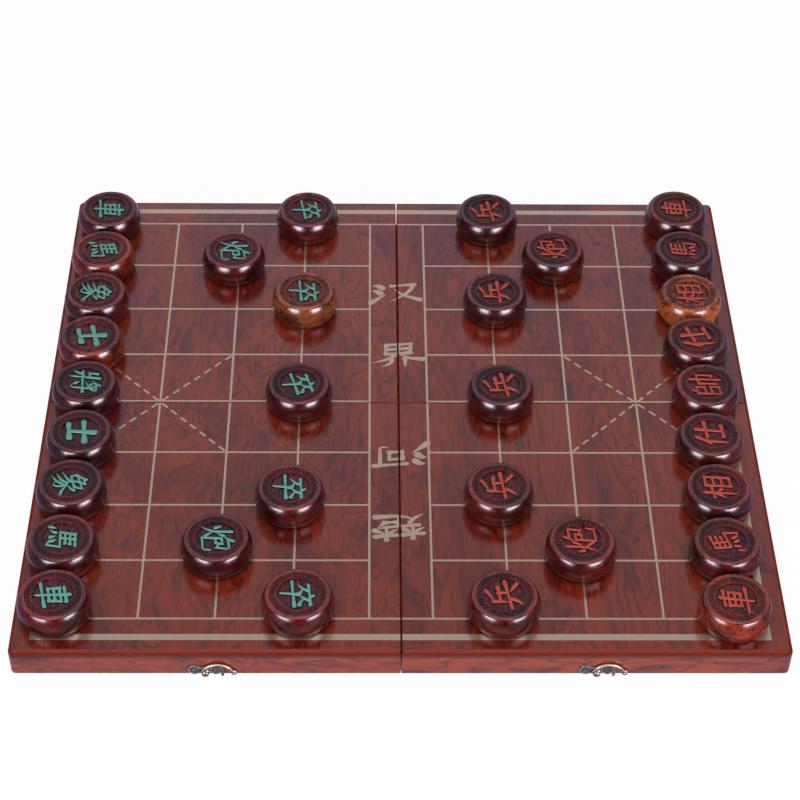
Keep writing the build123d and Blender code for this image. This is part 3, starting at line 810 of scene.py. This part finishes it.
def stained_ground(name, dark, light):
    """Dark spirit stain on the carved ground, matt, over the tool's fine tracks and the grain."""
    material, tree = new_material(name)
    place = add(tree, "ShaderNodeTexCoord").outputs["Object"]
    along = add(tree, "ShaderNodeMapping", inputs={"Vector": place, "Scale": (1, 0.25, 1)})
    tracks = add(tree, "ShaderNodeTexNoise", inputs={
        "Vector": along, "Scale": 1.0 / (1.1 * MM), "Detail": 3.0})
    streaks = add(tree, "ShaderNodeMapRange", inputs={
        "Value": tracks, "From Min": 0.38, "From Max": 0.62})
    tone = add(tree, "ShaderNodeMix", {"data_type": "RGBA"}, {
        0: streaks, 6: linear(dark), 7: linear(light)})
    end_with(tree, add(tree, "ShaderNodeBsdfPrincipled", inputs={
        "Base Color": tone, "Roughness": 0.4, "Specular IOR Level": 0.3}))
    return material


def mark_paint(name, colour):
    """Brushed acrylic paint, an even satin film on the raised strokes."""
    material, tree = new_material(name)
    end_with(tree, add(tree, "ShaderNodeBsdfPrincipled", inputs={
        "Base Color": linear(colour), "Roughness": 0.45}))
    return material


paints = {"green": mark_paint("green mark paint", "#4A8A7A"),
          "red": mark_paint("red mark paint", "#96321F")}
piece_woods = {  # ground, warm, vein, the stained ground's dark and light, and how much lighter the top is painted, a painted light from above
    # which is end grain polished thinner, differs
    "purple": ("#180203", "#300504", "#080102", "#0E0506", "#481A24", (3.6, 4.4, 7.0)),
    "brown": ("#200303", "#3E0B05", "#0A0102", "#120606", "#561E26", (3.2, 3.0, 5.0)),
    "russet": ("#320804", "#661E06", "#120202", "#160706", "#602222", (1.6, 1.3, 3.2)),
    "amber": ("#562009", "#944E20", "#34100A", "#200C08", "#7C3624", (1.2, 1.1, 1.6)),
    "olive": ("#2E1006", "#643414", "#1A0A05", "#180806", "#642C22", (1.8, 1.3, 2.4)),
}
piece_materials, ground_materials = {}, {}
for tone, (ground, warm, vein, dark, light, painted_top_light) in piece_woods.items():
    piece_materials[tone] = figured_rosewood(
        f"polished rosewood {tone}", ground, warm, vein, (0.4, 0.9, 0.2), along=0.45,
        vein_size=12.0, vein_count=9.0, strength=0.8, coat_roughness=0.22, painted_top_light=painted_top_light)
    ground_materials[tone] = stained_ground(f"stained ground {tone}", dark, light)
# painted shade: a black film round the foot of the raised strokes, and on the floor of the fret
painted_shade_black, tree = new_material("black painted shade round the strokes and in the fret")
end_with(tree, add(tree, "ShaderNodeBsdfPrincipled", inputs={
    "Base Color": linear("#0C0506"), "Roughness": 0.5, "Specular IOR Level": 0.3}))

marks = {
    "chariot": [
        ("heng", (24, 84), (76, 85)), ("shu", (26, 70), (28, 38)),
        ("bend", (26, 70), (74, 71), (72, 38)), ("heng", (28, 54), (72, 54)),
        ("heng", (28, 38), (72, 38)), ("heng", (8, 20), (92, 22)), ("shu", (50, 96), (50, 2))],
    "horse": [
        ("heng", (30, 90), (74, 90)), ("shu", (31, 90), (27, 46)), ("heng", (31, 75), (70, 75)),
        ("heng", (29, 61), (68, 61)), ("shu", (50, 90), (48, 48)),
        ("bend", (27, 47), (82, 46), (78, 8), (62, 16)), ("dot", (14, 34), (11, 24), (9, 14)),
        ("pie", (30, 34), (28, 26), (22, 16)), ("dot", (42, 33), (46, 26), (48, 18)),
        ("dot", (55, 34), (60, 27), (63, 20))],
    "elephant": [
        ("pie", (46, 99), (38, 88), (18, 76)), ("bend", (42, 92), (64, 91), (56, 80)),
        ("pie", (27, 78), (24, 68), (26, 58)), ("bend", (27, 78), (80, 78), (72, 60)),
        ("heng", (28, 59), (72, 58)), ("shu", (51, 77), (48, 60)),
        ("pie", (50, 58), (34, 46), (6, 38)), ("hook", (42, 50), (60, 30), (56, 2), (38, 10)),
        ("pie", (50, 40), (32, 26), (8, 20)), ("pie", (54, 28), (36, 12), (10, 2)),
        ("pie", (84, 54), (76, 46), (62, 40)), ("na", (60, 40), (76, 22), (98, 8))],
    "adviser": [
        ("heng", (10, 62), (90, 64)), ("shu", (50, 94), (50, 18)), ("heng", (22, 16), (78, 18))],
    "general": [
        ("shu", (30, 95), (30, 4)), ("shu", (12, 88), (12, 62)), ("heng", (12, 63), (28, 64)),
        ("heng", (6, 42), (28, 43)), ("pie", (16, 41), (12, 24), (4, 10)),
        ("pie", (62, 97), (54, 82), (42, 72)), ("bend", (58, 86), (88, 87), (84, 76)),
        ("pie", (86, 82), (76, 66), (50, 52)), ("dot", (54, 76), (58, 72), (62, 68)),
        ("dot", (66, 82), (70, 78), (74, 73)), ("heng", (40, 42), (96, 44)),
        ("hook", (78, 58), (78, 24), (76, 8), (62, 14)), ("dot", (52, 32), (56, 26), (60, 20))],
    "cannon": [
        ("dot", (6, 70), (9, 60), (12, 52)), ("pie", (42, 74), (38, 64), (30, 54)),
        ("pie", (26, 98), (26, 56), (19, 28), (2, 4)), ("na", (26, 44), (34, 32), (44, 20)),
        ("pie", (62, 99), (55, 84), (42, 72)),
        ("bend", (55, 84), (92, 84), (88, 48), (76, 54)), ("bend", (54, 66), (73, 66), (71, 48)),
        ("heng", (53, 48), (70, 48)), ("bend", (52, 66), (50, 10), (94, 8), (97, 28))],
    "pawn_green": [
        ("dot", (48, 98), (52, 92), (55, 86)), ("heng", (14, 82), (86, 84)),
        ("pie", (34, 80), (28, 64), (14, 52)), ("na", (32, 66), (40, 60), (48, 54)),
        ("pie", (68, 80), (62, 64), (50, 52)), ("na", (66, 66), (76, 58), (88, 52)),
        ("heng", (6, 36), (94, 38)), ("shu", (50, 50), (50, 2))],
    "minister": [
        ("heng", (6, 70), (44, 72)), ("shu", (26, 96), (26, 4)),
        ("pie", (25, 68), (18, 50), (4, 34)), ("dot", (28, 58), (34, 52), (42, 44)),
        ("shu", (54, 86), (54, 12)), ("bend", (54, 86), (88, 87), (87, 12)),
        ("heng", (55, 62), (86, 63)), ("heng", (55, 38), (86, 39)), ("heng", (55, 14), (87, 15))],
    "guard": [
        ("pie", (34, 95), (24, 72), (6, 50)), ("shu", (22, 66), (22, 4)),
        ("heng", (38, 62), (96, 65)), ("shu", (67, 92), (67, 14)), ("heng", (44, 12), (90, 14))],
    "marshal": [
        ("pie", (28, 98), (24, 92), (18, 85)), ("shu", (13, 84), (13, 12)),
        ("bend", (13, 84), (42, 85), (41, 58)), ("heng", (14, 59), (41, 60)),
        ("bend", (14, 40), (44, 41), (43, 14)), ("heng", (14, 14), (43, 15)),
        ("shu", (57, 72), (57, 20)), ("bend", (57, 72), (94, 74), (93, 24), (84, 30)),
        ("shu", (75, 97), (75, 2))],
    "pawn_red": [
        ("pie", (70, 99), (52, 90), (26, 84)), ("pie", (30, 86), (28, 62), (24, 42)),
        ("heng", (29, 66), (80, 62)), ("shu", (60, 64), (60, 42)), ("heng", (2, 41), (98, 38)),
        ("pie", (36, 32), (28, 18), (8, 0)), ("dot", (60, 32), (76, 20), (92, 4))],
}
own_marks = {  # the pieces whose mark isn't called after the piece
    "green": {"soldier": "pawn_green"},
    "red": {"elephant": "minister", "adviser": "guard", "general": "marshal",
            "soldier": "pawn_red"},
}
mark_size, mark_low = 23.2, piece_height - 1.7
mark_top, mark_ease = piece_height - 0.55, 0.35
# the black film round each stroke is wider than it, a painted shade at its foot
shade_film_spread, shade_film_top, shade_film_ease = 1.6, piece_height - field_depth + 0.03, 0.02
common_brush, carved_sharp = 1.75, radians(32)
brush_widths = {"adviser": 3.4, "guard": 2.5, "pawn_red": 2.2, "pawn_green": 1.9,
                "chariot": 2.0, "minister": 1.9}
piece_names = (
    "chariot_back", "horse_back", "elephant_back", "adviser_back", "general", "adviser_front",
    "elephant_front", "horse_front", "chariot_front", "cannon_back", "cannon_front",
    "soldier_1", "soldier_2", "soldier_3", "soldier_4", "soldier_5")
tones = {  # the others are brown
    "green": dict(horse_back="russet", adviser_back="russet", general="purple",
                  adviser_front="purple", elephant_front="purple", cannon_front="purple",
                  soldier_2="olive", soldier_3="purple"),
    "red": dict(horse_back="purple", elephant_back="amber", chariot_front="russet",
                soldier_1="purple", soldier_2="purple", soldier_3="purple"),
}


def raise_mark(bm, strokes, width, top, ease, side_slot, top_slot):
    """Adds a mark's strokes to a piece. Their sides and tops get these two material slots."""
    written = bmesh.new()
    write(written, strokes, mark_size, mark_size, width, mark_low, top, ease)
    bmesh.ops.recalc_face_normals(written, faces=written.faces)
    for face in written.faces:
        face.material_index = top_slot if face.material_index else side_slot
    take_in(bm, written)


fret = make_mesh(fret_tree(), **{
    "Turns": 34, "Inner Radius": ring_inner + 0.02, "Outer Radius": ring_outer - 0.05,
    "Low": piece_height - ring_depth - 0.05, "High": piece_height - 0.1,
    "Finish": piece_materials["brown"]})
hand, most_turn = Random(8), 9   # each is set down a little turned, by this many degrees
for colour, facing_turn in (("green", -pi / 2), ("red", pi / 2)):
    for name in piece_names:
        node, tone = f"{colour}_{name}", tones[colour].get(name, "brown")
        low_corner, high_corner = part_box(node)
        centre = (Vector(low_corner) + Vector(high_corner)) / 2 / MM
        bm = bmesh.new()
        bm.from_mesh(fret)
        for face in bm.faces:
            face.material_index = 0
        turn_blank(bm)
        kind = name.split("_")[0]
        mark_name = own_marks[colour].get(kind, kind)
        strokes, brush_width = marks[mark_name], brush_widths.get(mark_name, common_brush)
        # first a wider black film under the stroke, a painted shade at its foot, then the painted
        # stroke
        raise_mark(bm, strokes, brush_width + shade_film_spread, shade_film_top, shade_film_ease, 3, 3)
        raise_mark(bm, strokes, brush_width, mark_top, mark_ease, 1, 2)
        bmesh.ops.transform(bm, verts=bm.verts, matrix=Matrix.Translation(
            (centre.x, centre.y, board_z)) @ Matrix.Rotation(
            facing_turn + radians(hand.uniform(-most_turn, most_turn)), 4, "Z"))
        mesh = bpy.data.meshes.new(f"{node}_carved")
        to_metres(bm, mesh)
        for finish in (piece_materials[tone], ground_materials[tone], paints[colour], painted_shade_black):
            mesh.materials.append(finish)
        mesh.shade_smooth()
        mesh.set_sharp_from_angle(angle=carved_sharp)
        carved = new_object(f"{node}_carved", mesh)
        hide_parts(node)
        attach(carved, node)


# ---------------------------------------------------------------- hinges
# Small brass butt hinges let into the rims, with steel pins and countersunk steel screws. The
# screws of the plates on the rails outside are of the same kind.
def sheet_metal(name, colour, worn, roughness, patch_size):
    """Metal with a tone that wanders between clean and worn."""
    material, tree = new_material(name)
    wear = add(tree, "ShaderNodeTexNoise", inputs={
        "Vector": add(tree, "ShaderNodeTexCoord").outputs["Object"],
        "Scale": 1.0 / (patch_size * MM), "Detail": 4.0})
    mixed = add(tree, "ShaderNodeMapRange", SMOOTH, {
        "Value": wear, "From Min": 0.4, "From Max": 0.6})
    tone = add(tree, "ShaderNodeMix", {"data_type": "RGBA"}, {
        0: mixed, 6: linear(colour), 7: linear(worn)})
    end_with(tree, add(tree, "ShaderNodeBsdfPrincipled", inputs={
        "Base Color": tone, "Metallic": 1.0, "Roughness": roughness}))
    return material


brass = sheet_metal("stamped brass", "#B08A46", "#8E6A30", 0.35, 3.0)
steel = sheet_metal("zinc plated steel", "#8E8C88", "#6A6864", 0.35, 2.0)
for side in ("left", "right"):
    for part in ("hinge_leaves_back", "hinge_leaves_front"):
        dress(f"{side}_{part}", brass)
    for part in ("hinge_pins", "back_screws", "front_screws"):
        dress(f"{side}_{part}", steel)


# ---------------------------------------------------------------- hook and catch
# A cast swing hook on a two-lobed plate, and a stud on its own plate on the other rail. All are
# zinc alloy plated with nickel and antiqued, with worn patches; their colour is painted dark where
# they face down and bright where they face up, a painted shade and highlight. The edges of the
# hook are rounded and the plates have a low rim.
def antiqued(name, low_tone, high_tone, painted_light_from, painted_light_to, roughness):
    """Plated casting with worn patches, painted darker where it faces down and forwards than
    where it faces up, a painted shade and highlight.
    """
    material, tree = new_material(name)
    coordinates = add(tree, "ShaderNodeTexCoord")
    upward = add(tree, "ShaderNodeSeparateXYZ", inputs={0: coordinates.outputs["Normal"]})
    # painted light: faces that look up are lighter, faces that look down darker
    painted_light_mask = add(tree, "ShaderNodeMapRange", SMOOTH, {
        "Value": upward.outputs["Z"], "From Min": painted_light_from, "From Max": painted_light_to,
        "To Max": 0.8})
    wear = add(tree, "ShaderNodeTexNoise", inputs={
        "Vector": coordinates.outputs["Object"], "Scale": 1.0 / (0.9 * MM), "Detail": 3.0})
    patch = add(tree, "ShaderNodeMapRange", inputs={
        "Value": wear, "From Min": 0.38, "From Max": 0.62, "To Max": 0.3})
    amount = add(tree, "ShaderNodeMath", {"operation": "ADD", "use_clamp": True},
                 {0: painted_light_mask, 1: patch})
    tone = add(tree, "ShaderNodeMix", {"data_type": "RGBA"}, {
        0: amount, 6: linear(low_tone), 7: linear(high_tone)})
    end_with(tree, add(tree, "ShaderNodeBsdfPrincipled", inputs={
        "Base Color": tone, "Metallic": 0.8, "Roughness": roughness}))
    return material


antique_plate = antiqued("antiqued dark nickel", "#2A2A34", "#8E8C98", 0.3, 1.6, 0.45)
worn_and_painted_lit_nickel = antiqued("rubbed antique nickel", "#383230", "#CEC4B2", 0.0, 0.7, 0.36)
domed_nickel = antiqued("antique nickel of the rivets", "#2C2826", "#A89E90", 0.1, 1.0, 0.36)
plate_rim = antiqued("rim of the plates, worn and painted light on top", "#6E6A66", "#C8C0B6", 0.0, 1.0, 0.35)


def arc(centre, radius, start, end, steps=16):
    """Points of an arc, its angles in degrees."""
    angles = [radians(start + (end - start) * i / steps) for i in range(steps + 1)]
    return [(centre[0] + radius * cos(a), centre[1] + radius * sin(a)) for a in angles]


case_middle, face_y, rivet_z = 125.95, 228.0, 4.2
cast_sharp = radians(40)
hub = (0.0, 0.0)
arm_bars = [  # on the plane of the face about the rivet: path, width
    (arc((7.9, -2.8), 9.95, 163, 17), 2.1),       # arch
    (arc(hub, 2.1, 0, 360), 1.4),                 # eye on the rivet
    (arc(hub, 11.25, 36, -14, 8), 1.9),           # claw
    (arc((18.2, -0.2), 1.05, 165, -150), 1.8),    # curled end
]
lobe, middle_lobe = 4.2, 3.2
clasp_rims = [
    (arc((-7.0, 1.6), lobe - 0.45, 44, 316, 20), 0.8),
    (arc((7.0, 1.6), lobe - 0.45, 224, -136, 20), 0.8),
    ([(-4.2, 3.8), (4.2, 3.8)], 0.7),
    (arc((0.0, 0.6), middle_lobe - 0.4, 212, 328, 8), 0.7),
]
catch_rims = [
    (arc((-6.0, 0.0), 2.4, 40, 320), 0.6),
    (arc((6.0, 0.0), 2.4, 220, -140), 0.6),
    (arc(hub, 3.6, 24, 156, 10), 0.6),
    (arc(hub, 3.6, 204, 336, 10), 0.6),
]
arm_levels, rim_levels = (1.2, 2.4, 0.6), (0.9, 1.12, 0.1)   # from, to, rounding off the face
brush["bar"] = (1.0, 1.0, 1.0, False, False, False)


def cast_bars(name, bars, place, turned, levels, material):
    """A casting of rounded bars, laid on a case's front or back face about a point of it."""
    low, high, ease = levels
    bm = bmesh.new()
    for count, (path, width) in enumerate(bars):
        brush_stroke(bm, "bar", path, width, low, high - 0.03 * count, ease)
    for face in bm.faces:
        face.material_index = 0
    stand = Matrix.Rotation(pi / 2, 4, "X")
    if turned:
        stand = Matrix.Rotation(pi, 4, "Z") @ stand
    bmesh.ops.transform(bm, verts=bm.verts, matrix=Matrix.Translation(place) @ stand)
    bmesh.ops.recalc_face_normals(bm, faces=bm.faces)
    mesh = bpy.data.meshes.new(name)
    to_metres(bm, mesh)
    mesh.materials.append(material)
    mesh.shade_smooth()
    mesh.set_sharp_from_angle(angle=cast_sharp)
    return new_object(name, mesh)


for side, sx in (("left", -1), ("right", 1)):
    on_rivet = (sx * case_middle, -face_y, rivet_z)
    dress(f"{side}_clasp_plate", antique_plate)
    dress(f"{side}_catch_plate", antique_plate)
    dress(f"{side}_hook_rivet", domed_nickel)
    dress(f"{side}_catch_stud", domed_nickel)
    arm = cast_bars(f"{side}_hook_casting", arm_bars, on_rivet, False, arm_levels, worn_and_painted_lit_nickel)
    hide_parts(f"{side}_hook_arm")
    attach(arm, f"{side}_hook")
    rim = cast_bars(f"{side}_clasp_rim", clasp_rims, on_rivet, False, rim_levels, plate_rim)
    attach(rim, f"{side}_front")
    low_stud, high_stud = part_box(f"{side}_catch_stud")
    stud_x, stud_z = ((low_stud[i] + high_stud[i]) / 2 / MM for i in (0, 2))
    on_stud = (stud_x, face_y, stud_z)
    rim = cast_bars(f"{side}_catch_rim", catch_rims, on_stud, True, rim_levels, plate_rim)
    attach(rim, f"{side}_back")


# ---------------------------------------------------------------- flags
# Black flags keep the low softboxes off the flat of the board, which would mirror them as white
# sheets to anyone behind the set. A light of its own, over the camera, makes up for them there.
flat_parts = bpy.data.collections.new("flat parts of the board")
all_but_flat_parts = bpy.data.collections.new("all but the flat parts")
for shown in list(scene.objects):
    if shown.name.endswith(("_panel", "_lines", "_river_words")):
        flat_parts.objects.link(shown)
        all_but_flat_parts.objects.link(shown)
for link in all_but_flat_parts.collection_objects:
    link.light_linking.link_state = "EXCLUDE"
for lamp in low_lamps:
    lamp.light_linking.receiver_collection = all_but_flat_parts
board_lamp = softbox("softbox for the board", (0.0, -1.05, 1.05), (0, -0.1, 0), 1.6, 0.5, 11.5)
board_lamp.light_linking.receiver_collection = flat_parts
